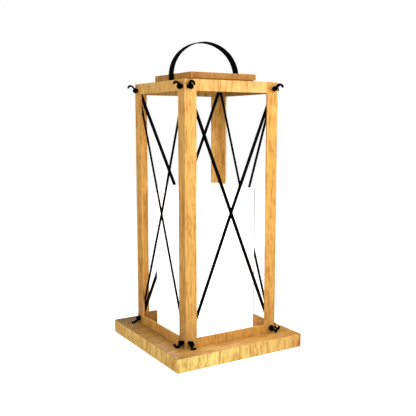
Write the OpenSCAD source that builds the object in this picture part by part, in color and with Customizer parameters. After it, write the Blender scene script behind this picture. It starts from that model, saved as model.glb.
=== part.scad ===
// Wooden lantern: a thick base board, an open frame of angle posts and rails braced by
// crossed flat laces, a square light unit inside, and a swinging band handle on the lid.
// Millimetres. Origin on the floor under the middle of the base, +Z up, front towards -Y.

/* [Base] */
// Side of the square base board
base_side = 243; // [224:1:280]
// Thickness of the base board
base_t = 22.8; // [21:0.1:28]
// Radius of the base board's upright corners
base_corner_r = 2; // [2:0.5:10]
// Rounding of the base board's upper edges
base_edge_r = 1.6; // [0.5:0.1:2]
// Rounding of the base board's lower edges
base_foot_r = 0.6; // [0.2:0.1:2]
// Height that the rubber pads lift the base off the floor
pad_lift = 0.5; // [0.5:0.1:2]

/* [Frame] */
// Outer side of the square frame
frame_side = 177; // [164:1:186]
// Height of the frame above the base board
frame_h = 426.4; // [330:0.1:520]
// Width of each leg of the angle posts
leg_w = 21.2; // [20.2:0.5:24.2]
// Thickness of the post legs and of the rails' outer part
board_t = 3; // [2.5:0.1:3.5]
// Rounding of the posts' and the rails' edges
edge_r = 0.4; // [0.1:0.1:0.8]
// Full thickness of the rails
rail_t = 8; // [7:0.5:9]
// Height of the upper rails
upper_rail_h = 18; // [17:0.5:24]
// Height of the lower rails
lower_rail_h = 15.5; // [15:0.5:22]
// Step down from the lower rails' upper edge to their inner part
rail_step = 3; // [0:0.5:3]
// Length of the rail tongues behind the post legs
tongue = 9; // [6:0.5:9]
// Height of the upper rails' tongues, which lie above the lace holes
upper_tongue_h = 2.4; // [1.5:0.1:2.8]
// Thickness of the roof board
roof_t = 5; // [4:0.5:6]

/* [Lid] */
// Side of the square lid
lid_side = 125; // [120:1:126]
// Thickness of the lid
lid_t = 9.8; // [9:0.2:12]
// Rounding of the lid's edges
lid_edge_r = 0.7; // [0.1:0.1:0.9]
// Height of the shadow gap under the lid
lid_gap = 3.7; // [3:0.1:5]
// Inset of the spacer under the lid
spacer_inset = 3; // [2:0.5:8]

/* [Handle] */
// Width of the handle band
strap_w = 15.6; // [12:0.2:16]
// Thickness of the handle band
strap_t = 1.6; // [1.2:0.1:1.8]
// Gap between the band and the side of the lid
strap_gap = 0.8; // [0.8:0.1:1.2]
// Height of the arch's start above the pivots
arch_lift = 1.5; // [0.5:0.1:3]
// Radius of the arch's shoulders, inside the band
shoulder_r = 53.5; // [50:0.5:56]
// Angle that each shoulder turns through before the flatter crown begins
shoulder_turn = 50; // [40:1:55]

/* [Laces] */
// Width of the flat lace
lace_w = 6; // [4:0.1:6]
// Thickness of the flat lace
lace_t = 1.4; // [0.8:0.1:1.4]
// Diameter of the lace holes in the posts
lace_hole_d = 6.6; // [6.4:0.1:6.8]
// Distance of the lace holes from the frame's corner edge
lace_hole_in = 7; // [7:0.1:7.5]
// Distance of the upper lace holes below the frame's top
lace_hole_down = 11.1; // [10:0.1:12]
// Height of the lower lace holes above the base board
lace_hole_up = 9.8; // [9:0.1:12]
// Diameter of each knot
knot_d = 10; // [8.6:0.1:10.4]
// Height of each knot above the post
knot_h = 8.4; // [5:0.1:9]
// Distance of each knot's middle from its hole, away from the frame's corner
knot_in = 2; // [0:0.1:2]
// Distance of the lower knots' middles below their holes
knot_down = 1.2; // [0:0.1:1.5]

/* [Light unit] */
// Side of the square diffuser
diffuser_side = 128; // [116:1:130]
// Height of the diffuser above the base board
diffuser_h = 249.5; // [200:0.5:300]
// Wall thickness of the diffuser
diffuser_wall = 3; // [2:0.5:4]
// Radius of the diffuser's upright edges
diffuser_r = 6; // [4:0.5:12]
// Rounding of the diffuser's top edge
diffuser_edge_r = 2; // [0.5:0.1:2.5]
// Side of the square light column
column_side = 26; // [20:1:36]

/* [Switch] */
// Diameter of the push button
button_d = 12; // [10:0.5:14]
// Travel of the push button
button_travel = 1.2; // [0.6:0.1:1.5]

/* [Hidden] */
$fn = 48;
eps = 0.01;

// Heights, from the floor up
z_plate = pad_lift;
z_base = z_plate + base_t;
z_top = z_base + frame_h;
z_lid = z_top + lid_gap;
z_pivot = z_lid + lid_t / 2;
z_arch = z_pivot + arch_lift;
z_hole_low = z_base + lace_hole_up;
z_hole_high = z_top - lace_hole_down;

// Half sizes in plan
frame_r = frame_side / 2;
inner_r = frame_r - board_t;
leg_r = frame_r - leg_w;
rail_r = frame_r - rail_t;
lid_r = lid_side / 2;
arch_r = lid_r + strap_gap;
shoulder_at = arch_r - shoulder_r;
crown_r = shoulder_r + shoulder_at / cos(shoulder_turn);
crown_drop = shoulder_at * tan(shoulder_turn);
hole_r = frame_r - lace_hole_in;

// Width and thickness of the knots' loose tails, where the lace is rolled up
tail_w = 3.2;
tail_t = 2.4;

// Fastener sizes
screw_d = 3;
screw_fit = 0.1;
roof_screw_d = 2.4;
ledge_mid = (inner_r + rail_r) / 2;
screw_at = 40;
pivot_d = 4;
pivot_fit = 0.05;
pivot_depth = 10;
insert_d = 6.4;
head_d = 9;
head_h = 1.5;
washer_play = 0.2;
lid_screw_at = 42;
pad_d = 16;
pad_t = 3;
pad_at = base_side / 2 - 20;

// Pocket for the battery in the underside of the base board
cover_x = 112;
cover_y = 92;
cover_t = 2;
cover_in = 0.4;
pocket_x = 96;
pocket_y = 76;
pocket_top = z_plate + 15;
cover_screw_x = 52;
cover_screw_y = 42;
wire_d = 8;
button_x = 32;
button_y = 16;
socket_y = -16;
flange_d = button_d + 3;
flange_h = 1;
cover_z = z_plate + cover_in;
button_z = cover_z + cover_t + 0.1;

// Light unit
tray_h = 5;
tray_screw_at = 46;
column_top = z_base + diffuser_h - 44;
led_w = 10;
led_t = 1.6;

wood_light = "#e8b672";
wood_brown = "#b4803f";
soft_black = "#141414";

// ---- Shared shapes -------------------------------------------------------------

// A rectangular board with round upright corners
module board(side_x, side_y, height, r) {
    translate([-side_x / 2 + r, -side_y / 2, 0]) cube([side_x - 2 * r, side_y, height]);
    translate([-side_x / 2, -side_y / 2 + r, 0]) cube([side_x, side_y - 2 * r, height]);
    for (sx = [-1, 1], sy = [-1, 1])
        translate([sx * (side_x / 2 - r), sy * (side_y / 2 - r), 0]) cylinder(h = height, r = r);
}

// Flat outline of a rectangle from its lower left corner, with its upper corners rounded
// by e and its lower corners by foot_e
module round_square(width, height, e, foot_e) {
    translate([0, foot_e]) square([width, height - e - foot_e]);
    translate([e, e]) square([width - 2 * e, height - e]);
    translate([foot_e, 0]) square([width - 2 * foot_e, height - foot_e]);
    for (x = [e, width - e]) translate([x, height - e]) circle(r = e);
    for (x = [foot_e, width - foot_e]) translate([x, foot_e]) circle(r = foot_e);
}

// A board whose upper edges are rounded by e and its lower edges by foot_e, all the way round
module soft_board(side_x, side_y, height, r, e, foot_e) {
    translate([-side_x / 2 + r, -side_y / 2, 0]) rotate([90, 0, 90])
        linear_extrude(height = side_x - 2 * r) round_square(side_y, height, e, foot_e);
    translate([-side_x / 2, side_y / 2 - r, 0]) rotate([90, 0, 0])
        linear_extrude(height = side_y - 2 * r) round_square(side_x, height, e, foot_e);
    for (sx = [-1, 1], sy = [-1, 1]) translate([sx * (side_x / 2 - r), sy * (side_y / 2 - r), 0])
        rotate_extrude() intersection() {
            translate([-r, 0]) round_square(2 * r, height, e, foot_e);
            square([r, height]);
        }
}

// The same shape at the four corners of a rectangle
module at_corners(x, y) {
    for (sx = [-1, 1], sy = [-1, 1]) translate([sx * x, sy * y, 0]) children();
}

// The two places of a fastener on each of the four sides, at distance r from the middle
module on_sides(r, along) {
    for (turn = [0:3], s = [-1, 1]) rotate(90 * turn) translate([s * along, -r, 0]) children();
}

// A countersunk wood screw, head down, whose head's flat is at z = 0
module wood_screw(d, length) {
    cylinder(h = length, d = d);
    cylinder(h = d * 0.55, d1 = d * 1.9, d2 = d);
}

// The hole that a wood screw needs: a shank and a countersink with a sunk mouth
module screw_hole(d, length) {
    translate([0, 0, -eps]) cylinder(h = length + 2 * eps, d = d + 2 * screw_fit);
    cylinder(h = d * 0.6, d1 = d * 2.05, d2 = d + 2 * screw_fit);
}

// ---- Base ----------------------------------------------------------------------

module base_plate() color(wood_light) difference() {
    translate([0, 0, z_plate])
        soft_board(base_side, base_side, base_t, base_corner_r, base_edge_r, base_foot_r);
    translate([-cover_x / 2, -cover_y / 2, z_plate - 1]) cube([cover_x, cover_y, cover_in + cover_t + 1]);
    translate([-pocket_x / 2, -pocket_y / 2, z_plate]) cube([pocket_x, pocket_y, pocket_top - z_plate]);
    cylinder(h = z_base + 1, d = wire_d);
    at_corners(pad_at, pad_at) cylinder(h = pad_t, d = pad_d + 0.2);
    at_corners(cover_screw_x, cover_screw_y)
        cylinder(h = cover_z + 10 + screw_fit, d = 2.2 + 2 * screw_fit);
    on_sides(ledge_mid, screw_at) {
        translate([0, 0, z_plate + 2]) screw_hole(screw_d, base_t);
        translate([0, 0, z_plate - 1]) cylinder(h = 3 + eps, d = screw_d * 2.05);
    }
    at_corners(tray_screw_at, tray_screw_at)
        translate([0, 0, z_base - 10]) cylinder(h = 11, d = screw_d + 2 * screw_fit);
}

module base_cover() color(soft_black) difference() {
    translate([0, 0, cover_z]) board(cover_x - 0.4, cover_y - 0.4, cover_t, 1);
    translate([button_x, button_y, 0]) cylinder(h = 10, d = button_d + 0.6);
    translate([button_x - 5.2, socket_y - 2.6, 0]) cube([10.4, 5.2, 10]);
    at_corners(cover_screw_x, cover_screw_y)
        translate([0, 0, cover_z]) screw_hole(2.2, cover_t);
}

module cover_screws() color("silver")
    at_corners(cover_screw_x, cover_screw_y) translate([0, 0, cover_z]) wood_screw(2.2, 10);

module foot_pads() color(soft_black)
    at_corners(pad_at, pad_at) cylinder(h = pad_t, d = pad_d);

module base_screws() color("silver")
    on_sides(ledge_mid, screw_at) translate([0, 0, z_plate + 2]) wood_screw(screw_d, base_t + 9);

// ---- Frame ---------------------------------------------------------------------

// Front left angle post, with a lace hole near each end of both legs
module post() color(wood_light) difference() {
    translate([-frame_r, -frame_r, z_base]) linear_extrude(height = frame_h) {
        round_square(leg_w, board_t, edge_r, edge_r);
        round_square(board_t, leg_w, edge_r, edge_r);
    }
    for (z = [z_hole_low, z_hole_high]) {
        translate([-hole_r, -frame_r - 1, z]) rotate([-90, 0, 0])
            cylinder(h = board_t + 2, d = lace_hole_d);
        translate([-frame_r - 1, -hole_r, z]) rotate([0, 90, 0])
            cylinder(h = board_t + 2, d = lace_hole_d);
    }
}

// Front rail with its bottom at z = 0: an outer board between the posts, flush with them,
// and a thicker inner part whose two tongues lap behind the post legs, from tongue_z up
module rail(height, inner_h, tongue_z) color(wood_light) {
    translate([-leg_r, -frame_r, 0]) rotate([90, 0, 90]) linear_extrude(height = 2 * leg_r) {
        round_square(board_t, height, edge_r, edge_r);
        round_square(rail_t, inner_h, edge_r, edge_r);
    }
    for (s = [0, 1]) mirror([s, 0, 0])
        translate([leg_r, -inner_r, tongue_z]) cube([tongue, rail_t - board_t, inner_h - tongue_z]);
}

module lower_rail() difference() {
    translate([0, 0, z_base]) rail(lower_rail_h, lower_rail_h - rail_step, 0);
    for (s = [-1, 1]) translate([s * screw_at, -ledge_mid, z_base - 1])
        cylinder(h = 1 + 11, d = screw_d + 2 * screw_fit);
}

// The upper rails' inner part is lower, and the roof board lies on it
module upper_rail() difference() {
    translate([0, 0, z_top - upper_rail_h])
        rail(upper_rail_h, upper_rail_h - roof_t, upper_rail_h - roof_t - upper_tongue_h);
    for (s = [-1, 1]) translate([s * screw_at, -ledge_mid, z_top - upper_rail_h])
        screw_hole(roof_screw_d, upper_rail_h);
}

module roof_board() color(wood_light) difference() {
    translate([-inner_r, -inner_r, z_top - roof_t]) cube([2 * inner_r, 2 * inner_r, roof_t]);
    on_sides(ledge_mid, screw_at) translate([0, 0, z_top - roof_t - 1])
        cylinder(h = 1 + 3.6, d = roof_screw_d + 2 * screw_fit);
    at_corners(lid_screw_at, lid_screw_at)
        translate([0, 0, z_top - roof_t]) screw_hole(screw_d, roof_t);
}

module roof_screws() color("silver")
    on_sides(ledge_mid, screw_at) translate([0, 0, z_top - upper_rail_h])
        wood_screw(roof_screw_d, upper_rail_h - roof_t + 3.4);

// ---- Lid and handle ------------------------------------------------------------

module lid_spacer() color(wood_brown) difference() {
    translate([0, 0, z_top]) board(lid_side - 2 * spacer_inset, lid_side - 2 * spacer_inset, lid_gap, 1);
    at_corners(lid_screw_at, lid_screw_at)
        translate([0, 0, z_top - 1]) cylinder(h = lid_gap + 2, d = screw_d + 2 * screw_fit);
}

module lid_board() color(wood_brown) difference() {
    translate([0, 0, z_lid]) soft_board(lid_side, lid_side, lid_t, 1, lid_edge_r, lid_edge_r);
    at_corners(lid_screw_at, lid_screw_at)
        translate([0, 0, z_lid - 1]) cylinder(h = 1 + 6.8, d = screw_d + 2 * screw_fit);
    for (s = [0, 180]) rotate(s) translate([lid_r + 1, 0, z_pivot]) rotate([0, -90, 0])
        cylinder(h = pivot_depth + 1.1, d = insert_d + 2 * screw_fit);
}

module lid_screws() color("silver") at_corners(lid_screw_at, lid_screw_at)
    translate([0, 0, z_top - roof_t]) wood_screw(screw_d, roof_t + lid_gap + 6.6);

// Points along an arc about a centre, after its first one
function arc(at, r, from, to, steps) =
    [for (i = [1:steps]) let (a = from + (to - from) * i / steps) at + r * [cos(a), sin(a)]];

// The band's edge at distance t outside its inner face, from pivot to pivot: an upright
// leg, a round shoulder, the flatter crown, and the same again
function arch_edge(t) = concat(
    [[arch_r + t, -arch_lift], [arch_r + t, 0]],
    arc([shoulder_at, 0], shoulder_r + t, 0, shoulder_turn, 12),
    arc([0, -crown_drop], crown_r + t, shoulder_turn, 180 - shoulder_turn, 20),
    arc([-shoulder_at, 0], shoulder_r + t, 180 - shoulder_turn, 180, 12),
    [[-arch_r - t, -arch_lift]]);

function backwards(list) = [for (i = [len(list) - 1:-1:0]) list[i]];

// Arched band across the lid, with round ends about the pivots
module handle_strap() color(soft_black) difference() {
    union() {
        translate([0, 0, z_arch]) rotate([90, 0, 0]) linear_extrude(height = strap_w, center = true)
            polygon(concat(arch_edge(0), backwards(arch_edge(strap_t))));
        for (s = [0, 180]) rotate(s) translate([arch_r, 0, z_pivot]) rotate([0, 90, 0])
            cylinder(h = strap_t, d = strap_w);
    }
    translate([0, 0, z_pivot]) rotate([0, 90, 0])
        cylinder(h = 3 * arch_r, d = pivot_d + 2 * pivot_fit, center = true);
}

module pivot_inserts() color("darkgoldenrod") for (s = [0, 180]) rotate(s)
    translate([lid_r, 0, z_pivot]) rotate([0, -90, 0]) difference() {
        cylinder(h = pivot_depth, d = insert_d);
        translate([0, 0, -1]) cylinder(h = pivot_depth + 2, d = pivot_d + 2 * screw_fit);
    }

module pivot_screws() color(soft_black) for (s = [0, 180]) rotate(s)
    translate([arch_r + strap_t + 0.1, 0, z_pivot]) rotate([0, -90, 0]) {
        translate([0, 0, -head_h]) cylinder(h = head_h, d = head_d);
        cylinder(h = strap_t + 0.1 + strap_gap + pivot_depth - 1, d = pivot_d);
    }

module pivot_washers() color(soft_black) for (s = [0, 180]) rotate(s)
    translate([lid_r, 0, z_pivot]) rotate([0, 90, 0]) difference() {
        cylinder(h = strap_gap - washer_play, d = head_d);
        translate([0, 0, -1]) cylinder(h = strap_gap + 2, d = pivot_d + 2 * screw_fit);
    }

// ---- Laces ---------------------------------------------------------------------

function unit(v) = v / norm(v);

// Direction of a path at point i, from the points beside it
function along(p, i) = unit(p[min(i + 1, len(p) - 1)] - p[max(i - 1, 0)]);

// A flat lace swept along a path, whose width keeps the direction across
module ribbon(path, across, width, thick) {
    b = unit(across);
    rings = [for (i = [0:len(path) - 1]) let (n = unit(cross(along(path, i), b)))
        for (c = [[-1, -1], [1, -1], [1, 1], [-1, 1]])
            path[i] + b * c[0] * width / 2 + n * c[1] * thick / 2];
    last = 4 * (len(path) - 1);
    sides = [for (i = [0:len(path) - 2], k = [0:3])
        [4 * i + 4 + k, 4 * i + 4 + (k + 1) % 4, 4 * i + (k + 1) % 4, 4 * i + k]];
    polyhedron(points = rings,
        faces = concat([[0, 1, 2, 3]], sides, [[last + 3, last + 2, last + 1, last]]), convexity = 6);
}

// Loose tails of the knots, from the middle of the knot: to the right along the face,
// inwards, and up. One list for each end of lace a and lace b, on the front and the left.
front_tails = [
    [[0, 0, 0], [-2.5, -1, 3.5], [-2.8, -2, 6], [-0.5, -2.5, 7.6], [2.5, -2.5, 7], [4.6, -2.3, 4.5], [4.8, -2, 1.5]],
    [[0, 0, 0], [3, -1, 3], [5, -1.5, 6], [7, -2.5, 7.4], [10, -3.5, 6.8], [12.5, -4.5, 4.6], [13, -4.5, 2.4]],
    [[0, 0, 0], [-1, -2, -3.5], [-2.5, -3, -5.8], [-2, -3.8, -6.7], [1, -4.2, -6.8], [5, -4.6, -6.7]],
    [[0, 0, 0], [2.5, -2, -3], [5, -3.5, -6.6], [5.5, -4.5, -4.5], [8.5, -4.5, -3.2], [11.5, -4.5, -0.5],
        [13, -4.5, 2.5]]];
left_tails = [
    [[0, 0, 0], [-1, -1.5, 3.5], [-1.5, -3.5, 6.2], [-2, -6.5, 8], [-2, -9.5, 7.8], [-2, -11.5, 6], [-2, -11.8, 3.5]],
    [[0, 0, 0], [-1, -1, 4], [-3.5, -1.5, 6.6], [-7, -2, 7.4], [-10.5, -2.3, 6.5], [-12.5, -2.5, 4.3]],
    [[0, 0, 0], [-0.5, -3, -4], [-1, -5.5, -6], [-2, -8.5, -6.8], [-2, -11.5, -6.9]],
    [[0, 0, 0], [0, -2, -4], [-1, -3.5, -6], [-4.5, -4.5, -6.8], [-9, -4.8, -6.8], [-13, -5, -5]]];

// One knot on the front face, with its tail
module knot(tail) {
    rotate([90, 0, 0]) rotate_extrude() intersection() {
        translate([0, -knot_h]) square([knot_d, knot_h * 2]);
        translate([0, knot_h / 2]) intersection() {
            circle(d = knot_d);
            translate([-knot_d, -knot_h / 2]) square([2 * knot_d, knot_h]);
        }
    }
    translate([0, -knot_h / 2, 0]) ribbon(tail, [0.3, 1, 0.2], tail_w, tail_t);
}

// One lace on the front face. It starts in the left post, at the top for lace a and at
// the bottom for lace b, and lace b passes behind lace a in the middle.
module lace(tails, is_b) color(soft_black) {
    z_left = is_b ? z_hole_low : z_hole_high;
    z_right = is_b ? z_hole_high : z_hole_low;
    left = [-hole_r, 0, z_left];
    right = [hole_r, 0, z_right];
    run = unit(right - left);
    face = [0, -inner_r + lace_t / 2, 0];
    back = [0, is_b ? lace_t + 0.2 : 0, 0];
    out = [0, -frame_r - knot_h / 2, 0];
    bend = [0, -inner_r - 1.2, 0];
    ribbon([left + out, left + bend, left + face + run * 2.4, (left + right) / 2 + face + back,
            right + face - run * 2.4, right + bend, right + out],
        cross(run, [0, 1, 0]), lace_w, lace_t);
    translate(left + [knot_in, -frame_r, is_b ? -knot_down : 0]) knot(tails[is_b ? 2 : 0]);
    translate(right + [-knot_in, -frame_r, is_b ? 0 : -knot_down]) knot(tails[is_b ? 1 : 3]);
}

// ---- Light unit ----------------------------------------------------------------

module diffuser() color("white") translate([0, 0, z_base]) difference() {
    translate([0, 0, -diffuser_edge_r])
        soft_board(diffuser_side, diffuser_side, diffuser_h + diffuser_edge_r, diffuser_r,
            diffuser_edge_r, diffuser_edge_r);
    translate([-diffuser_side / 2 - 1, -diffuser_side / 2 - 1, -diffuser_edge_r - 1])
        cube([diffuser_side + 2, diffuser_side + 2, diffuser_edge_r + 1]);
    translate([0, 0, -1]) board(diffuser_side - 2 * diffuser_wall, diffuser_side - 2 * diffuser_wall,
        diffuser_h - diffuser_wall + 1, diffuser_r - diffuser_wall);
}

module light_tray() color("white") difference() {
    translate([0, 0, z_base])
        board(diffuser_side - 2 * diffuser_wall - 0.6, diffuser_side - 2 * diffuser_wall - 0.6, tray_h,
            diffuser_r - diffuser_wall);
    translate([0, 0, z_base - 1]) cylinder(h = tray_h + 2, d = wire_d);
    at_corners(tray_screw_at, tray_screw_at)
        translate([0, 0, z_base + tray_h]) mirror([0, 0, 1]) screw_hole(screw_d, tray_h);
}

module tray_screws() color("silver") at_corners(tray_screw_at, tray_screw_at)
    translate([0, 0, z_base + tray_h]) mirror([0, 0, 1]) wood_screw(screw_d, tray_h + 9);

module light_column() color("silver") difference() {
    translate([-column_side / 2, -column_side / 2, z_base + tray_h])
        cube([column_side, column_side, column_top - z_base - tray_h]);
    translate([0, 0, z_base]) linear_extrude(height = column_top)
        square(column_side - 4, center = true);
}

module led_strips() color("gold") for (turn = [0:3]) rotate(90 * turn)
    translate([-led_w / 2, -column_side / 2 - led_t, z_base + tray_h + 8])
        cube([led_w, led_t, column_top - z_base - tray_h - 16]);

module column_cap() color("white")
    translate([0, 0, column_top]) board(column_side + 4, column_side + 4, 3, 2);

module battery_pack() color("steelblue")
    translate([-16, 0, cover_z + cover_t + 0.6]) board(60, 70, 11, 2);

module control_board() color("darkgreen")
    translate([button_x, 0, cover_z + cover_t + 7.4]) board(26, 66, 1.6, 1);

module charge_socket() color("silver") difference() {
    translate([button_x - 4.6, socket_y - 1.9, cover_z + 0.3]) cube([9.2, 3.8, cover_t + 7.1]);
    translate([button_x - 4.1, socket_y - 1.4, cover_z - 1]) cube([8.2, 2.8, 1 + 6.5]);
}

// The switch that the button presses, on the control board
module switch_body() color(soft_black)
    translate([button_x - 4, button_y - 4, button_z + 1.9 + button_travel])
        cube([8, 8, cover_z + cover_t + 7.4 - (button_z + 1.9 + button_travel)]);

module switch_button() color("dimgray") translate([button_x, button_y, 0]) {
    translate([0, 0, cover_z]) cylinder(h = button_z - cover_z + flange_h, d = button_d);
    translate([0, 0, button_z]) cylinder(h = flange_h, d = flange_d);
    translate([0, 0, button_z]) cylinder(h = 1.8, d = 5);
}

base_plate();
base_cover();
cover_screws();
foot_pads();
base_screws();
post();  // post_front_left
rotate(90) post();  // post_front_right
rotate(180) post();  // post_back_right
rotate(270) post();  // post_back_left
lower_rail();  // lower_rail_front
rotate(90) lower_rail();  // lower_rail_right
rotate(180) lower_rail();  // lower_rail_back
rotate(270) lower_rail();  // lower_rail_left
upper_rail();  // upper_rail_front
rotate(90) upper_rail();  // upper_rail_right
rotate(180) upper_rail();  // upper_rail_back
rotate(270) upper_rail();  // upper_rail_left
roof_board();
roof_screws();
lid_spacer();
lid_board();
lid_screws();
handle_strap();
pivot_inserts();
pivot_screws();
pivot_washers();
lace(front_tails, false);  // lace_front_a
lace(front_tails, true);  // lace_front_b
rotate(90) lace(left_tails, false);  // lace_right_a
rotate(90) lace(left_tails, true);  // lace_right_b
rotate(180) lace(front_tails, false);  // lace_back_a
rotate(180) lace(front_tails, true);  // lace_back_b
rotate(270) lace(left_tails, false);  // lace_left_a
rotate(270) lace(left_tails, true);  // lace_left_b
diffuser();
light_tray();
tray_screws();
light_column();
led_strips();
column_cap();
battery_pack();
control_board();
charge_socket();
switch_body();
switch_button();
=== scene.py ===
"""Wooden lantern: looks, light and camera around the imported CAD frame."""
import math

import bmesh
import bpy
from mathutils import Matrix, Vector


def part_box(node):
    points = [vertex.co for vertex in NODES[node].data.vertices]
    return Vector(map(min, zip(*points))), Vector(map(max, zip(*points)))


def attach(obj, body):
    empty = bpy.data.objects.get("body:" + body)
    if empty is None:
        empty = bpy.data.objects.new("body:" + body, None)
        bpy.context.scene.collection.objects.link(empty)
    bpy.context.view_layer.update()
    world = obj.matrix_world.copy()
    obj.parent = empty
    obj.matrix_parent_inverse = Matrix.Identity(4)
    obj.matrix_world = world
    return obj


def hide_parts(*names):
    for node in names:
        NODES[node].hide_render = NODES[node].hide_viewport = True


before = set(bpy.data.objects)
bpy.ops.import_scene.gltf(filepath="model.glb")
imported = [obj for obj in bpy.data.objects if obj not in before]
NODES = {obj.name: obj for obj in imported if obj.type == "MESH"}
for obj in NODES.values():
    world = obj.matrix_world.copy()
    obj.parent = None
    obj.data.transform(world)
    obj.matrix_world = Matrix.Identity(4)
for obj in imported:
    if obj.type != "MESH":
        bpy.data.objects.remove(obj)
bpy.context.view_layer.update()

# A millimetre in metres, and the way out of the lantern's front face
MM = 0.001
OUT = Vector((0, -1, 0))

# Camera, off the front left corner and a little above the lantern's middle: place in metres,
# turn and tilt in degrees, and lens in millimetres
CAMERA_AT = Vector((-0.5753, -0.9592, 0.3807))
CAMERA_TURN = -31.26
CAMERA_TILT = 7.367
CAMERA_LENS = 55.97

# Half the floor's side, in metres
FLOOR_HALF = 12

# Studio lights: name, angle round the lantern in degrees, distance, height, height aimed at
# and size in metres, and watts
LIGHTS = (
    ("left_top", -90, 0.90, 0.62, 0.40, (0.4, 0.4), 3.9),
    ("front_top", 0, 0.90, 0.62, 0.40, (0.4, 0.4), 3.3),
    ("right_top", 50, 0.90, 0.62, 0.40, (0.4, 0.4), 1.7),
    ("key", 25, 1.48, 0.90, 0.25, (0.9, 0.9), 3.9),
    ("high", 50, 1.13, 1.43, 0.25, (0.9, 0.9), 4.1),
    ("low_right", 75, 1.60, 0.41, 0.25, (0.9, 0.5), 8.5),
    ("low_back", 180, 1.60, 0.41, 0.25, (0.9, 0.5), 1.6))

# Panel just over the floor in front of the lantern, which shines upwards
PANEL_AT = 1.1
PANEL_HIGH = 0.004
PANEL_SIZE = (0.8, 0.8)
PANEL_WATTS = 9.5

# Light that comes from the horizon
WORLD_LIGHT = 0.64

# Colour of the oiled wood where its tone is 1
WOOD = (0.70, 0.35, 0.072)

# Each kind of wooden piece: tone on its sides, its top, its underside and at its foot, and
# the contrast of its streaks. The tones are painted light and shade, piece by piece: lit and
# shaded copies of the one wood, with tops and undersides lit or shaded apart from the sides, and
# a painted shade at the foot. A node takes the first row whose name starts its own.
PLAIN = (1.0, 1.0, 1.0)
# Painted light: a lighter, bluer tone for the rails' tops and the base board's underside
RAIL_TOP = (1.0, 1.1, 1.3)
WOOD_LIGHT_TONES = (
    ("base_plate", (1.30, 1.85, 2.50), (1.07, 1.12, 1.50), RAIL_TOP, 1.0, 1.5),
    ("post_front_left", (1.0, 1.02, 1.04), PLAIN, PLAIN, 0.70, 1.3),
    ("post_front_right", (0.96, 0.96, 0.88), PLAIN, PLAIN, 0.8, 1.3),
    ("post_back_left", (1.01, 1.02, 0.88), PLAIN, PLAIN, 0.8, 1.3),
    ("post_back_right", (1.0, 1.17, 1.50), PLAIN, PLAIN, 0.8, 1.3),
    ("lower_rail_left", (1.05, 1.10, 1.12), PLAIN, PLAIN, 0.9, 1.2),
    ("lower_rail_front", (0.94, 0.94, 0.92), PLAIN, PLAIN, 0.9, 1.2),
    ("lower_rail", (0.66, 0.70, 0.68), PLAIN, PLAIN, 0.9, 1.2),
    ("upper_rail_front", (1.08, 1.18, 1.50), RAIL_TOP, (0.36, 0.42, 0.55), 1.0, 1.3),
    ("upper_rail_left", (1.05, 1.18, 1.28), RAIL_TOP, (0.38, 0.45, 0.60), 1.0, 1.3),
    ("upper_rail", (0.78, 0.82, 1.02), RAIL_TOP, (0.36, 0.42, 0.55), 1.0, 1.3),
    ("roof_board", (1.12, 1.17, 1.30), RAIL_TOP, (0.40, 0.45, 0.60), 1.0, 1.2),
    # The lid's dark tone is painted shade, where it sits back under the roof board's edge
    ("lid", (0.68, 0.59, 0.26), (0.68, 0.59, 0.26), (0.68, 0.59, 0.26), 1.0, 1.2))

# The base board's colour varies: that of its sides along X, darker on the -X side and towards
# the +X end, and that of its top along X minus Y, which is painted light: darker towards the back
# left, and lighter with a painted sheen of the diffuser's reflection towards the front right.
# BASE_HALF is half the board's side, in metres.
BASE_HALF = 0.1215
SIDE_FADE = [
    (0.0, (0.99, 0.86, 0.78)),
    (0.04, (1.0, 1.0, 1.0)),
    (0.5, (0.99, 0.93, 0.96)),
    (1.0, (0.72, 0.52, 0.43))]
TOP_PAINTED_LIGHT = [
    (0.04, (0.62, 0.60, 0.40)),
    (0.40, (0.74, 0.73, 0.66)),
    (0.5, (0.87, 0.87, 0.78)),
    (0.7, (0.95, 0.98, 1.0)),
    (0.95, (0.99, 0.96, 0.60))]

# Heights, in metres, between which the painted shade at a piece's foot fades out
FOOT_SHADE_LOW = 0.026
FOOT_SHADE_HIGH = 0.10

# Light given off by the diffuser, and the width, colour and glow of the grey band along its
# upright edges
DIFFUSER_GLOW = 1.05
CORNER_BAND = 0.0042
EDGE_GREY = (0.08, 0.08, 0.08)
EDGE_GLOW = (0.06, 0.06, 0.06)

# Fainter band round the diffuser's top: how far down and in it reaches, over what distance it
# fades out, and its strength beside the upright bands
RIM_HIGH = 0.002
RIM_WIDE = 0.003
RIM_FADE = 0.001
RIM_PART = 0.25

# Laces, in millimetres, as the CAD makes them. The posts' legs reach from INNER_AT to FACE_AT
# from the middle, and their holes are at HOLE_AT across. LACE_EDGE rounds the lace's edges.
LACE_WIDTH = 6.0
LACE_THICK = 1.4
LACE_EDGE = 0.9
HOLE_AT = 81.5
HOLE_LOW = 33.1
HOLE_HIGH = 438.6
FACE_AT = 88.5
INNER_AT = 85.5
KNOT_HIGH = 8.4
KNOT_IN = 2.0
KNOT_DOWN = 1.2

# Width and thickness of the lace on the face, where it gathers, where it fills its hole, where
# it leaves the hole, where it is rolled in the knot and at the tail's end, and how much more
# the tail has where it starts
FLAT = (LACE_WIDTH, LACE_THICK)
GATHERED = (5.8, 2.6)
BUNCHED = (5.9, 5.6)
LEAVING = (5.0, 4.6)
ROLLED = (3.9, 3.2)
TAIL_END = (3.5, 2.6)
TAIL_MORE = (0.5, 0.6)

# Half sizes of the knot's filled middle, and the size and rise of its loops
KNOT_CORE = (4.3, 3.7, 4.3)
LOOP_SIZE = 0.95
LOOP_RISE = 1.9

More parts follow.
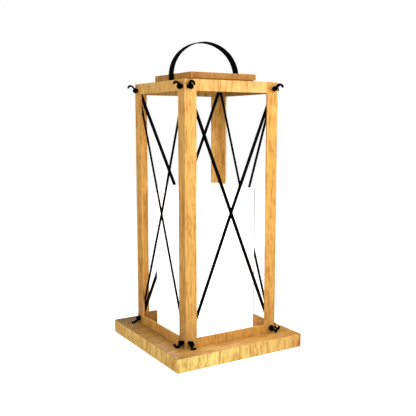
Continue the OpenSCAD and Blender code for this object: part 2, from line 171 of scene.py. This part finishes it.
# Loose tails of the knots on the front and on the left, from the middle of the knot: to the
# right along the face, outwards where negative, and up. Each face has its upper left, upper
# right, lower left and lower right tail.
FRONT_TAILS = [
    [[-2.5, -1, 3.5], [-2.8, -2, 6], [-0.5, -2.5, 7.6], [2.5, -2.5, 7], [4.6, -2.3, 4.5], [4.8, -2, 1.5]],
    [[3, -1, 3], [5, -1.5, 6], [7, -2.5, 7.4], [10, -3.5, 6.8], [12.5, -4.5, 4.6], [13, -4.5, 2.4]],
    [[-1, -2, -3.5], [-2.5, -3, -5.8], [-2, -3.8, -6.7], [1, -4.2, -6.8], [5, -4.6, -6.7]],
    [[3, -2, -2.5], [6.5, -3.8, -6.4], [6, -4.2, -5.4], [7.5, -4.5, -2.6], [11, -4.5, -1.5], [13, -4.5, 3]]]
LEFT_TAILS = [
    [[-1, -1.5, 3.5], [-1.5, -3.5, 6.2], [-2, -6.5, 8], [-2, -9.5, 7.8], [-2, -11.5, 6], [-2, -11.8, 3.5]],
    [[-1, -1, 4], [-3.5, -1.5, 6.6], [-7, -2, 7.4], [-10.5, -2.3, 6.5], [-12.5, -2.5, 4.3]],
    [[-0.5, -3, -4], [-1, -5.5, -6], [-2, -8.5, -6.8], [-2, -11.5, -6.9]],
    [[0, -2, -4], [-1, -3.5, -6], [-4.5, -4.5, -6.8], [-9, -4.8, -6.8], [-13, -5, -5]]]

# Handle band, in millimetres and degrees, as the CAD makes it
STRAP_WIDTH = 15.6
STRAP_THICK = 1.6
STRAP_EDGE = 0.4
PIVOT_HIGH = 458.3
ARCH_LIFT = 1.5
SHOULDER_R = 53.5
SHOULDER_TURN = 50


def corner_places(x, y):
    return [(sx * x, sy * y) for sx in (-1, 1) for sy in (-1, 1)]


# Two screws on each side of the lantern, in the ledges of the rails
SIDE_PLACES = corner_places(40, 83) + corner_places(83, 40)

# Countersunk screws, in millimetres: node, thread, length, places in plan, height of the
# head's face, and 1 where that faces up or -1 where it faces down
SCREWS = (
    ("cover_screws", 2.2, 10, corner_places(52, 42), 0.9, -1),
    ("base_screws", 3.0, 31.8, SIDE_PLACES, 2.5, -1),
    ("roof_screws", 2.4, 16.4, SIDE_PLACES, 431.7, -1),
    ("lid_screws", 3.0, 15.3, corner_places(42, 42), 444.7, -1),
    ("tray_screws", 3.0, 14, corner_places(46, 46), 28.3, 1))


# ---- Camera, floor and light ----------------------------------------------------

def make_camera():
    data = bpy.data.cameras.new("camera")
    data.sensor_width = 36
    data.lens = CAMERA_LENS
    data.clip_start = 0.05
    data.clip_end = 50
    camera = bpy.data.objects.new("camera", data)
    camera.location = CAMERA_AT
    camera.rotation_euler = (math.radians(90 - CAMERA_TILT), 0, math.radians(CAMERA_TURN))
    bpy.context.scene.collection.objects.link(camera)
    bpy.context.scene.camera = camera


def make_floor():
    """Pale floor. It shows white to the viewer and gives off no light of its own."""
    mesh = bpy.data.meshes.new("floor")
    corners = [(sx * FLOOR_HALF, sy * FLOOR_HALF, 0) for sx, sy in ((-1, -1), (1, -1), (1, 1), (-1, 1))]
    mesh.from_pydata(corners, [], [(0, 1, 2, 3)])
    floor = bpy.data.objects.new("floor", mesh)
    bpy.context.scene.collection.objects.link(floor)
    s = Shading("floor")
    s.value("Base Color", (0.86, 0.86, 0.86, 1))
    s.value("Roughness", 0.9)
    s.value("Specular IOR Level", 0.1)
    s.value("Emission Color", (1, 1, 1, 1))
    shown = s.math("MULTIPLY", s.node("ShaderNodeLightPath").outputs["Is Camera Ray"], 0.9)
    s.feed("Emission Strength", shown)
    mesh.materials.append(s.material)


def make_world():
    """White to the viewer; as light, strongest at the horizon and nothing overhead."""
    world = bpy.data.worlds.new("studio")
    world.use_nodes = True
    tree = world.node_tree
    apart = tree.nodes.new("ShaderNodeSeparateXYZ")
    tree.links.new(tree.nodes.new("ShaderNodeTexCoord").outputs["Generated"], apart.inputs["Vector"])
    below_top = tree.nodes.new("ShaderNodeMath")
    below_top.operation = "SUBTRACT"
    below_top.use_clamp = True
    below_top.inputs[0].default_value = 1
    tree.links.new(apart.outputs["Z"], below_top.inputs[1])
    lobe = tree.nodes.new("ShaderNodeMath")
    lobe.operation = "POWER"
    lobe.inputs[1].default_value = 2
    tree.links.new(below_top.outputs["Value"], lobe.inputs[0])
    as_light = tree.nodes.new("ShaderNodeMath")
    as_light.operation = "MULTIPLY"
    as_light.inputs[1].default_value = WORLD_LIGHT
    tree.links.new(lobe.outputs["Value"], as_light.inputs[0])
    chosen = tree.nodes.new("ShaderNodeMix")
    tree.links.new(tree.nodes.new("ShaderNodeLightPath").outputs["Is Camera Ray"], chosen.inputs[0])
    tree.links.new(as_light.outputs["Value"], chosen.inputs[2])
    chosen.inputs[3].default_value = 1
    tree.links.new(chosen.outputs[0], tree.nodes["Background"].inputs["Strength"])
    tree.nodes["Background"].inputs["Color"].default_value = (1, 1, 1, 1)
    bpy.context.scene.world = world


def softbox(name, at, aim, size, power):
    """Rectangular light that is not seen itself, at one point and aimed at another."""
    data = bpy.data.lights.new(name, "AREA")
    data.shape = "RECTANGLE"
    data.size, data.size_y = size
    data.energy = power
    light = bpy.data.objects.new(name, data)
    light.location = at
    light.rotation_euler = (Vector(aim) - Vector(at)).to_track_quat("-Z", "Y").to_euler()
    light.visible_camera = False
    bpy.context.scene.collection.objects.link(light)


def around(angle, distance, height):
    """The point at that angle round the lantern, from the front towards +X."""
    turn = math.radians(angle)
    return Vector((math.sin(turn) * distance, -math.cos(turn) * distance, height))


def make_light():
    make_world()
    for name, angle, distance, height, aim, size, power in LIGHTS:
        softbox(name, around(angle, distance, height), (0, 0, aim), size, power)
    panel = around(0, PANEL_AT, PANEL_HIGH)
    softbox("floor_panel", panel, panel + Vector((0, 0, 1)), PANEL_SIZE, PANEL_WATTS)


# ---- Material helpers -----------------------------------------------------------

class Shading:
    """A material's node tree, with short calls for the nodes that the materials share."""

    def __init__(self, name):
        self.material = bpy.data.materials.new(name)
        self.material.use_nodes = True
        self.tree = self.material.node_tree
        self.shader = self.tree.nodes["Principled BSDF"]

    def node(self, kind, **settings):
        made = self.tree.nodes.new(kind)
        for key, value in settings.items():
            setattr(made, key, value)
        return made

    def link(self, source, target):
        self.tree.links.new(source, target)

    def value(self, name, number):
        self.shader.inputs[name].default_value = number

    def feed(self, name, source):
        self.link(source, self.shader.inputs[name])

    def place(self):
        """The point of the surface in the part's own frame, in metres."""
        return self.node("ShaderNodeTexCoord").outputs["Object"]

    def parts(self, vector):
        """The vector's X, Y and Z."""
        made = self.node("ShaderNodeSeparateXYZ")
        self.link(vector, made.inputs["Vector"])
        return [made.outputs[axis] for axis in "XYZ"]

    def moved(self, vector, offset=(0, 0, 0), scale=(1, 1, 1)):
        mapping = self.node("ShaderNodeMapping")
        mapping.inputs["Location"].default_value = offset
        mapping.inputs["Scale"].default_value = scale
        self.link(vector, mapping.inputs["Vector"])
        return mapping.outputs["Vector"]

    def noise(self, vector, scale, detail=3.0, rough=0.5):
        made = self.node("ShaderNodeTexNoise")
        made.inputs["Scale"].default_value = scale
        made.inputs["Detail"].default_value = detail
        made.inputs["Roughness"].default_value = rough
        self.link(vector, made.inputs["Vector"])
        return made

    def math(self, operation, a, b=None):
        made = self.node("ShaderNodeMath", operation=operation)
        for socket, value in zip(made.inputs, (a, b)):
            if isinstance(value, (int, float)):
                socket.default_value = value
            elif value is not None:
                self.link(value, socket)
        return made.outputs["Value"]

    def spread(self, value, low, high, to_low=0.0, to_high=1.0):
        """The value's range from low to high, spread over another range and held at its ends."""
        made = self.node("ShaderNodeMapRange")
        for name, number in (("From Min", low), ("From Max", high), ("To Min", to_low), ("To Max", to_high)):
            made.inputs[name].default_value = number
        self.link(value, made.inputs["Value"])
        return made.outputs["Result"]

    def ramp(self, value, stops):
        made = self.node("ShaderNodeValToRGB")
        elements = made.color_ramp.elements
        while len(elements) < len(stops):
            elements.new(0.5)
        for element, (position, colour) in zip(elements, stops):
            element.position = position
            element.color = (*colour, 1)
        self.link(value, made.inputs["Fac"])
        return made.outputs["Color"]

    def mix(self, factor, a, b, blend="MIX"):
        made = self.node("ShaderNodeMix", data_type="RGBA", blend_type=blend)
        for socket, value in ((made.inputs[0], factor), (made.inputs[6], a), (made.inputs[7], b)):
            if isinstance(value, (int, float)):
                socket.default_value = value
            elif isinstance(value, tuple):
                socket.default_value = (*value, 1)
            else:
                self.link(value, socket)
        return made.outputs[2]

    def bump(self, height, distance, strength):
        made = self.node("ShaderNodeBump")
        made.inputs["Distance"].default_value = distance
        made.inputs["Strength"].default_value = strength
        self.link(height, made.inputs["Height"])
        self.link(made.outputs["Normal"], self.shader.inputs["Normal"])


def scaled(colour, factor):
    return tuple(channel * factor for channel in colour)


def mixed_down(colour, amount, parts):
    """The colour darkened by amount, each channel by its own part of it."""
    return tuple(channel * (1 - amount * part) for channel, part in zip(colour, parts))


# ---- Materials ------------------------------------------------------------------

def wood(name, offset, base_ramps, side_lighting, top_lighting, under_lighting, foot_shade, contrast):
    """Oiled, streaky wood. The grain stands upright on the sides and runs across the tops.
    The tones multiply the wood's colour on the sides, tops and undersides and near the base, as
    painted light and shade: lit and shaded copies of the one wood, and a painted shade at the foot.
    The base board gets ramps as well: along X on its sides, and painted light and a painted sheen
    across its top."""
    s = Shading(name)
    x, y, z = s.parts(s.place())
    upward = s.parts(s.node("ShaderNodeTexCoord").outputs["Normal"])[2]

    # The grain runs along the third axis: upright on the sides and along X on the tops
    place = s.moved(s.place(), offset=offset)
    along, across, up = s.parts(place)
    lying = s.node("ShaderNodeCombineXYZ")
    for source, axis in ((across, "X"), (up, "Y"), (along, "Z")):
        s.link(source, lying.inputs[axis])
    flat = s.spread(s.math("ABSOLUTE", upward), 0.6, 0.8)
    chosen = s.node("ShaderNodeMix", data_type="VECTOR")
    s.link(flat, chosen.inputs[0])
    s.link(place, chosen.inputs[4])
    s.link(lying.outputs["Vector"], chosen.inputs[5])
    grain = chosen.outputs[1]

    # Slow waves bend the streaks sideways
    wave = s.noise(s.moved(grain, scale=(1, 1, 0.5)), 24, detail=2)
    shift = s.node("ShaderNodeVectorMath", operation="MULTIPLY_ADD")
    s.link(wave.outputs["Color"], shift.inputs[0])
    shift.inputs[1].default_value = (0.018, 0.018, 0)
    s.link(grain, shift.inputs[2])
    bent = shift.outputs["Vector"]

    def streaks(scale, draw, detail=2, rough=0.5):
        """Noise drawn out along the grain: the smaller draw is, the longer the streaks."""
        return s.noise(s.moved(bent, scale=(1, 1, draw)), scale, detail, rough).outputs["Fac"]

    broad = streaks(70, 0.14)
    streak = streaks(330, 0.09, rough=0.55)
    fibre = streaks(1100, 0.05, detail=3, rough=0.6)
    figure = streaks(110, 0.7)
    pores = streaks(1700, 0.035)

    # Colour of the streaks and pores
    level = 0
    for part, weight in ((broad, 0.22), (streak, 0.46), (figure, 0.20), (fibre, 0.12)):
        level = s.math("ADD", level, s.math("MULTIPLY", part, weight))
    level = s.spread(level, 0.4, 0.6)
    dark = mixed_down(WOOD, contrast, (0.22, 0.33, 0.50))
    light = mixed_down(WOOD, -contrast, (0.12, 0.20, 0.34))
    body = s.ramp(level, [(0.0, dark), (0.5, WOOD), (1.0, light)])
    pore_line = s.spread(pores, 0.60, 0.72)
    body = s.mix(s.math("MULTIPLY", pore_line, 0.30), body, scaled(dark, 0.75))

    # Painted light and shade: tones of the sides, the top and the underside, and a painted shade at the foot
    if base_ramps:
        # The base board's ramps: along X on its sides, and painted light and sheen across its top
        rightward = s.spread(x, -BASE_HALF, BASE_HALF)
        slanted = s.spread(s.math("SUBTRACT", x, y), -2 * BASE_HALF, 2 * BASE_HALF)
        side_lighting = s.mix(1.0, s.ramp(rightward, SIDE_FADE), side_lighting, "MULTIPLY")
        top_lighting = s.mix(1.0, s.ramp(slanted, TOP_PAINTED_LIGHT), top_lighting, "MULTIPLY")
    facing = s.mix(s.spread(upward, 0.6, 0.8), side_lighting, top_lighting)
    facing = s.mix(s.spread(upward, -0.6, -0.8), facing, under_lighting)
    # Painted shade: the wood is darker towards its foot
    foot = s.spread(z, FOOT_SHADE_LOW, FOOT_SHADE_HIGH, foot_shade, 1.0)
    body = s.mix(1.0, body, facing, "MULTIPLY")
    body = s.mix(1.0, body, foot, "MULTIPLY")
    s.feed("Base Color", body)

    s.feed("Roughness", s.spread(streak, 0.3, 0.7, 0.46, 0.36))
    s.value("Specular IOR Level", 0.28)
    height = s.math("ADD", s.math("MULTIPLY", streak, 0.6), s.math("MULTIPLY", fibre, 0.3))
    height = s.math("SUBTRACT", height, s.math("MULTIPLY", pore_line, 0.5))
    s.bump(height, 0.0002, 0.5)
    return s.material


def lace_leather():
    """Black waxed leather lace, with fine creases and a dull sheen."""
    s = Shading("looks_black_lace")
    place = s.place()
    creases = s.noise(place, 900, detail=4, rough=0.65).outputs["Fac"]
    patches = s.noise(place, 120, detail=2).outputs["Fac"]
    black = s.mix(patches, (0.0002, 0.0002, 0.0002), (0.0008, 0.0007, 0.0007))
    s.feed("Base Color", black)
    s.feed("Roughness", s.spread(creases, 0.3, 0.7, 0.85, 0.65))
    s.value("Specular IOR Level", 0.02)
    s.bump(creases, 0.00018, 0.6)
    return s.material


def black_coat(name, grain_scale, depth, roughness, specular, tone):
    """Black paint or plastic with a fine texture."""
    s = Shading(name)
    place = s.place()
    grain = s.noise(place, grain_scale, detail=3, rough=0.6).outputs["Fac"]
    patches = s.noise(place, 60, detail=2).outputs["Fac"]
    s.feed("Base Color", s.mix(patches, scaled(tone, 0.8), scaled(tone, 1.25)))
    s.feed("Roughness", s.spread(patches, 0.3, 0.7, roughness - 0.05, roughness + 0.07))
    s.value("Specular IOR Level", specular)
    s.bump(grain, depth, 0.5)
    return s.material


def brushed_metal(name, colour, roughness, direction):
    """Bare metal with fine brush lines across the direction given."""
    s = Shading(name)
    lines = s.noise(s.moved(s.place(), scale=direction), 1500, detail=3).outputs["Fac"]
    blots = s.noise(s.place(), 80, detail=3).outputs["Fac"]
    s.feed("Base Color", s.mix(blots, scaled(colour, 0.86), scaled(colour, 1.08)))
    s.value("Metallic", 1.0)
    s.feed("Roughness", s.spread(lines, 0.3, 0.7, roughness - 0.07, roughness + 0.1))
    s.bump(lines, 0.00004, 0.4)
    return s.material


def opal_diffuser():
    """White opal plastic, lit from inside. Its thick edges let through less light."""
    s = Shading("looks_diffuser")
    place = s.place()
    x, y, z = s.parts(place)
    across = s.math("ABSOLUTE", x)
    along = s.math("ABSOLUTE", y)
    cloud = s.noise(place, 40, detail=3).outputs["Fac"]
    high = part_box("diffuser")[1]
    corner = s.spread(s.math("MINIMUM", across, along), high.x - CORNER_BAND, high.x - 0.85 * CORNER_BAND)
    rim = s.spread(z, high.z - RIM_HIGH, high.z - RIM_HIGH + RIM_FADE)
    border = s.math("MAXIMUM", across, along)
    border = s.spread(border, high.x - RIM_WIDE, high.x - RIM_WIDE + RIM_FADE)
    rim = s.math("MULTIPLY", s.math("MULTIPLY", rim, border), RIM_PART)
    edge = s.math("MAXIMUM", corner, rim)
    s.feed("Base Color", s.mix(edge, (0.90, 0.90, 0.895), EDGE_GREY))
    lit = s.mix(cloud, (0.96, 0.955, 0.945), (1.0, 0.995, 0.985))
    s.feed("Emission Color", s.mix(edge, lit, EDGE_GLOW))
    s.value("Emission Strength", DIFFUSER_GLOW)
    s.value("Roughness", 0.2)
    s.value("Specular IOR Level", 0.5)
    s.bump(s.noise(place, 700, detail=2).outputs["Fac"], 0.00003, 0.3)
    return s.material


def plain_plastic(name, colour, roughness):
    """Moulded plastic with a faint texture."""
    s = Shading(name)
    grain = s.noise(s.place(), 1200, detail=2).outputs["Fac"]
    blots = s.noise(s.place(), 90, detail=2).outputs["Fac"]
    s.feed("Base Color", s.mix(blots, scaled(colour, 0.92), scaled(colour, 1.04)))
    s.feed("Roughness", s.spread(blots, 0.3, 0.7, roughness - 0.04, roughness + 0.06))
    s.bump(grain, 0.00006, 0.4)
    return s.material


def led_strip():
    """Pale strip with rows of warm light spots."""
    s = Shading("looks_led_light")
    spots = s.node("ShaderNodeTexVoronoi")
    spots.inputs["Scale"].default_value = 140
    spots.inputs["Randomness"].default_value = 0.0
    s.link(s.place(), spots.inputs["Vector"])
    lit = s.spread(spots.outputs["Distance"], 0.30, 0.42, 1.0, 0.0)
    s.feed("Base Color", s.mix(lit, (0.85, 0.85, 0.83), (0.95, 0.80, 0.35)))
    s.feed("Emission Color", s.mix(lit, (0.0, 0.0, 0.0), (1.0, 0.86, 0.62)))
    s.value("Emission Strength", 2.0)
    s.value("Roughness", 0.4)
    s.material.cycles.emission_sampling = "NONE"
    return s.material


# ---- Mesh helpers ---------------------------------------------------------------

def new_piece(name, bm, material, body, node):
    """The finished mesh as a smooth piece, in metres, that rides on a body for a CAD node."""
    bmesh.ops.recalc_face_normals(bm, faces=bm.faces)
    mesh = bpy.data.meshes.new(name)
    bm.to_mesh(mesh)
    bm.free()
    mesh.materials.append(material)
    mesh.shade_smooth()
    mesh.set_sharp_from_angle(angle=math.radians(40))
    piece = bpy.data.objects.new(name, mesh)
    bpy.context.scene.collection.objects.link(piece)
    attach(piece, body)
    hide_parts(node)


def rounded(points, passes=2):
    """The polyline with its corners cut again and again, which leaves smooth bends."""
    for _ in range(passes):
        cut = [points[0]]
        for a, b in zip(points, points[1:]):
            cut.append(a.lerp(b, 0.25))
            cut.append(a.lerp(b, 0.75))
        cut.append(points[-1])
        points = cut
    return points


def section(width, thick, edge):
    """Points round a flat section, (across, through), whose corners are rounded by edge."""
    edge = min(edge, 0.49 * width, 0.49 * thick)
    ring = []
    for quarter in range(4):
        sx = 1 if quarter in (0, 3) else -1
        sy = 1 if quarter < 2 else -1
        for i in range(4):
            angle = math.radians(90 * quarter + 30 * i)
            ring.append((sx * (width / 2 - edge) + edge * math.cos(angle),
                         sy * (thick / 2 - edge) + edge * math.sin(angle)))
    return ring


def carried(path, across):
    """The path's direction and width direction at each point, carried on without twist."""
    last = len(path) - 1
    ways = [(path[min(i + 1, last)] - path[max(i - 1, 0)]).normalized() for i in range(last + 1)]
    across = (across - across.dot(ways[0]) * ways[0]).normalized()
    frames = [(ways[0], across)]
    for before, way in zip(ways, ways[1:]):
        across = before.rotation_difference(way) @ across
        across = (across - across.dot(way) * way).normalized()
        frames.append((way, across))
    return frames


def skin(bm, rings):
    """Faces between rings of equal length, with a cap on the first and the last."""
    rings = [[bm.verts.new(point) for point in ring] for ring in rings]
    for first, second in zip(rings, rings[1:]):
        for k in range(len(first)):
            n = (k + 1) % len(first)
            bm.faces.new((first[k], first[n], second[n], second[k]))
    bm.faces.new(reversed(rings[0]))
    bm.faces.new(rings[-1])


def ring_at(point, way, across, size, edge):
    through = way.cross(across)
    return [point + a * across + t * through for a, t in section(*size, edge)]


# ---- Laces ----------------------------------------------------------------------

def with_size(point, size):
    return Vector((*point, *size))


def knot_loop(way_out):
    """Open overhand knot about the origin, facing -Y, that ends towards the angle way_out."""
    turn = way_out - math.radians(210)
    steps = 24
    loop = []
    for i in range(steps + 1):
        t = math.radians(30 + 300 * i / steps)
        a = LOOP_SIZE * (math.sin(t) + 2 * math.sin(2 * t))
        b = LOOP_SIZE * (math.cos(t) - 2 * math.cos(2 * t))
        x = a * math.cos(turn) - b * math.sin(turn)
        z = a * math.sin(turn) + b * math.cos(turn)
        loop.append(Vector((x, LOOP_RISE * math.sin(3 * t), z)))
    return loop


def half_lace(middle, hole, tail, inward, down):
    """Half a lace, from the middle of the face through the hole and the knot to the tail's end.
    Each point holds its place and the lace's width and thickness there, in millimetres."""
    side = math.copysign(1, inward.x)
    face = hole + OUT * (INNER_AT - LACE_THICK / 2)
    base = hole + OUT * FACE_AT
    knot = base + OUT * (KNOT_HIGH / 2) + Vector((KNOT_IN * side, 0, -down))
    way_out = math.atan2(tail[0][2], tail[0][0])
    gather = face + inward * 3
    points = [with_size(middle.lerp(gather, part), FLAT) for part in (0.0, 0.3, 0.6, 0.85, 1.0)]
    points.append(with_size(face + inward * 1.2, GATHERED))
    points.append(with_size(base - OUT * 1.8, BUNCHED))
    points.append(with_size(base - OUT * 0.2, BUNCHED))
    points.append(with_size(base + OUT * 1.4, LEAVING))
    points += [with_size(knot + place, ROLLED) for place in knot_loop(way_out)]
    edge = Vector((math.cos(way_out), -0.25, math.sin(way_out)))
    points.append(with_size(knot + edge * 3.2, ROLLED))
    for i, place in enumerate(tail):
        rest = 1 - i / len(tail)
        size = [end + more * rest for end, more in zip(TAIL_END, TAIL_MORE)]
        points.append(with_size(knot + Vector(place), size))
    return rounded(points)


def lace(name, tails, is_b, turn, material):
    """One lace on the front face, turned to its own face: lace a runs from the upper left to the
    lower right, and lace b passes behind it from the lower left to the upper right."""
    left = Vector((-HOLE_AT, 0, HOLE_LOW if is_b else HOLE_HIGH))
    right = Vector((HOLE_AT, 0, HOLE_HIGH if is_b else HOLE_LOW))
    run = (right - left).normalized()
    behind = 1.2 * LACE_THICK if is_b else 0
    middle = (left + right) / 2 + OUT * (INNER_AT - LACE_THICK / 2 - behind)
    across = run.cross(Vector((0, 1, 0)))
    left_half = half_lace(middle, left, tails[2 if is_b else 0], run, KNOT_DOWN if is_b else 0)
    right_half = half_lace(middle, right, tails[1 if is_b else 3], -run, 0 if is_b else KNOT_DOWN)
    rings = []
    for half, side in ((left_half, -1), (right_half, 1)):
        path = [point.xyz for point in half]
        half_rings = [ring_at(point, way * side, way_across, (size[3], size[4]), LACE_EDGE)
                      for point, (way, way_across), size in zip(path, carried(path, across), half)]
        rings = list(reversed(half_rings[1:])) if side < 0 else rings + half_rings
    bm = bmesh.new()
    skin(bm, rings)
    for hole, side, down in ((left, 1, is_b), (right, -1, not is_b)):
        at = hole + OUT * (FACE_AT + 0.45 * KNOT_HIGH) + Vector((side * KNOT_IN, 0, -KNOT_DOWN * down))
        core = Matrix.Translation(at) @ Matrix.Diagonal((*KNOT_CORE, 1))
        bmesh.ops.create_uvsphere(bm, u_segments=24, v_segments=16, radius=1, matrix=core)
    bm.transform(Matrix.Rotation(math.radians(turn), 4, "Z") @ Matrix.Scale(MM, 4))
    new_piece(name + "_cord", bm, material, "lantern", name)


def make_laces():
    material = lace_leather()
    tucked = [[(0.3 * x, y, z) for x, y, z in tail] for tail in FRONT_TAILS]
    faces = (
        ("front", FRONT_TAILS, 0),
        ("right", LEFT_TAILS, 90),
        ("back", tucked, 180),
        ("left", LEFT_TAILS, 270))
    for face, tails, turn in faces:
        for letter in "ab":
            lace(f"lace_{face}_{letter}", tails, letter == "b", turn, material)


# ---- Handle and screws ----------------------------------------------------------

def arch_path():
    """Middle line of the bent band, from one end to the other, with the band's width there."""
    half_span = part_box("handle_strap")[1].x / MM - STRAP_THICK / 2
    shoulder = SHOULDER_R + STRAP_THICK / 2
    shoulder_at = half_span - shoulder
    turn = math.radians(SHOULDER_TURN)
    crown = shoulder + shoulder_at / math.cos(turn)
    start = PIVOT_HIGH + ARCH_LIFT
    crown_z = start - shoulder_at * math.tan(turn)
    end_r = STRAP_WIDTH / 2
    side = []
    for i in range(11):
        angle = math.radians(4 + 86 * i / 10)
        point = Vector((half_span, 0, PIVOT_HIGH - end_r * math.cos(angle)))
        side.append((point, 2 * end_r * math.sin(angle)))
    for i in range(15):
        angle = turn * i / 14
        point = Vector((shoulder_at + shoulder * math.cos(angle), 0, start + shoulder * math.sin(angle)))
        side.append((point, STRAP_WIDTH))
    for i in range(1, 13):
        angle = turn + (math.pi / 2 - turn) * i / 12
        point = Vector((crown * math.cos(angle), 0, crown_z + crown * math.sin(angle)))
        side.append((point, STRAP_WIDTH))
    other = [(Vector((-point.x, 0, point.z)), width) for point, width in reversed(side[:-1])]
    return side + other


def make_strap(material):
    """The bent band, with eased edges and round ends about the pivots."""
    stations = arch_path()
    path = [point for point, width in stations]
    frames = carried(path, Vector((0, 1, 0)))
    bm = bmesh.new()
    skin(bm, [ring_at(point, way, across, (width, STRAP_THICK), STRAP_EDGE)
              for (point, width), (way, across) in zip(stations, frames)])
    bm.transform(Matrix.Scale(MM, 4))
    new_piece("bent_band", bm, material, "handle", "handle_strap")


def outline_radius(shape, angle):
    """Distance from the middle to the outline of size 1 at that angle."""
    if shape == "hex":
        part = (angle + math.pi / 6) % (math.pi / 3) - math.pi / 6
        return 1 / math.cos(part)
    if shape == "cross":
        part = abs((angle + math.pi / 4) % (math.pi / 2) - math.pi / 4)
        arm = 0.26
        return 1 / math.cos(part) if math.tan(part) <= arm else arm / math.sin(part)
    return 1


def turned(bm, profile, matrix):
    """Skin of rings about Z: each has its radius, height and outline."""
    steps = 48
    rings = []
    for radius, height, shape in profile:
        ring = []
        for k in range(steps):
            angle = 2 * math.pi * k / steps
            reach = radius * outline_radius(shape, angle)
            ring.append(matrix @ Vector((reach * math.cos(angle), reach * math.sin(angle), height)))
        rings.append(ring)
    skin(bm, rings)


def make_pivot_screws(material):
    """Domed shoulder screws with a hexagon socket, one at each end of the band."""
    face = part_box("pivot_screws")[1].x / MM
    high = 1.5
    socket = [(1.3, 0.55, "hex"), (1.3, 1.35, "hex"), (1.6, high, "round")]
    dome = [(2.6, 1.38, "round"), (3.5, 1.1, "round"), (4.15, 0.65, "round"), (4.45, 0.2, "round")]
    shank = [(4.5, 0.0, "round"), (2.0, 0.0, "round"), (2.0, -11.4, "round")]
    bm = bmesh.new()
    for angle in (90, -90):
        turn = Matrix.Rotation(math.radians(angle), 4, "Y")
        at = Matrix.Translation((math.copysign(face - high, angle), 0, PIVOT_HIGH))
        turned(bm, socket + dome + shank, at @ turn)
    bm.transform(Matrix.Scale(MM, 4))
    new_piece("pivot_shoulder_screws", bm, material, "lantern", "pivot_screws")


def make_screws(material):
    """Countersunk screws with a cross recess in the head, in proportion to the thread."""
    for node, size, length, places, height, way in SCREWS:
        head = size * 0.95
        recess = [(size * 0.14, -size * 0.42, "round"), (size * 0.45, -size * 0.1, "cross"),
                  (size * 0.5, 0.0, "cross")]
        rim = [(head * 0.94, 0.0, "round"), (head, -size * 0.05, "round")]
        shank = [(size / 2, -size * 0.55, "round"), (size / 2, -length + 2, "round"),
                 (size * 0.12, -length, "round")]
        flip = Matrix.Rotation(0 if way > 0 else math.pi, 4, "X")
        bm = bmesh.new()
        for x, y in places:
            turned(bm, recess + rim + shank, Matrix.Translation((x, y, height)) @ flip)
        bm.transform(Matrix.Scale(MM, 4))
        new_piece("recessed_" + node, bm, material, "lantern", node)


# ---- Put together ---------------------------------------------------------------

def paint(node, material):
    """Gives a CAD node its material."""
    mesh = NODES[node].data
    mesh.materials.clear()
    mesh.materials.append(material)


def paint_wood():
    """Gives each wooden node its own tones of painted light and shade, and streaks from its own place in the
    wood.
    """
    wooden = [n for n in NODES if NODES[n].data.materials[0].name.startswith("wood_")]
    for i, node in enumerate(sorted(wooden)):
        offset = (0.137 * i, 0.211 * (i % 5), 0.173 * (i % 7))
        tones = next(row[1:] for row in WOOD_LIGHT_TONES if node.startswith(row[0]))
        paint(node, wood("looks_" + node, offset, node == "base_plate", *tones))


def paint_rest():
    """Gives every other node the look of its slot, and gives back the looks."""
    looks = {
        "black_plastic": black_coat(
            "looks_black_plastic", grain_scale=1500, depth=0.00008, roughness=0.5, specular=0.4,
            tone=(0.012, 0.012, 0.013)),
        "rubber_pad": black_coat(
            "looks_rubber", grain_scale=900, depth=0.00012, roughness=0.8, specular=0.25,
            tone=(0.02, 0.02, 0.02)),
        "black_metal": black_coat(
            "looks_black_metal", grain_scale=2200, depth=0.00005, roughness=0.6, specular=0.03,
            tone=(0.0005, 0.0005, 0.0005)),
        "steel": brushed_metal("looks_steel", (0.56, 0.56, 0.55), 0.32, (1, 1, 0.1)),
        "brass": brushed_metal("looks_brass", (0.72, 0.50, 0.20), 0.3, (0.1, 1, 1)),
        "aluminium": brushed_metal("looks_aluminium", (0.80, 0.81, 0.82), 0.35, (1, 1, 0.05)),
        "diffuser_white": opal_diffuser(),
        "white_plastic": plain_plastic("looks_white_plastic", (0.82, 0.82, 0.80), 0.4),
        "battery_wrap": plain_plastic("looks_battery_wrap", (0.03, 0.12, 0.32), 0.3),
        "circuit_green": plain_plastic("looks_circuit", (0.01, 0.10, 0.03), 0.35),
        "led_light": led_strip(),
    }
    for node, thing in NODES.items():
        slot = thing.data.materials[0].name
        if slot in looks:
            paint(node, looks[slot])
    return looks


make_camera()
make_floor()
make_light()
paint_wood()
looks = paint_rest()
make_laces()
make_strap(looks["black_metal"])
make_pivot_screws(looks["black_metal"])
make_screws(looks["steel"])

# Colours are shown as they are, with no film curve
bpy.context.scene.view_settings.view_transform = "Standard"
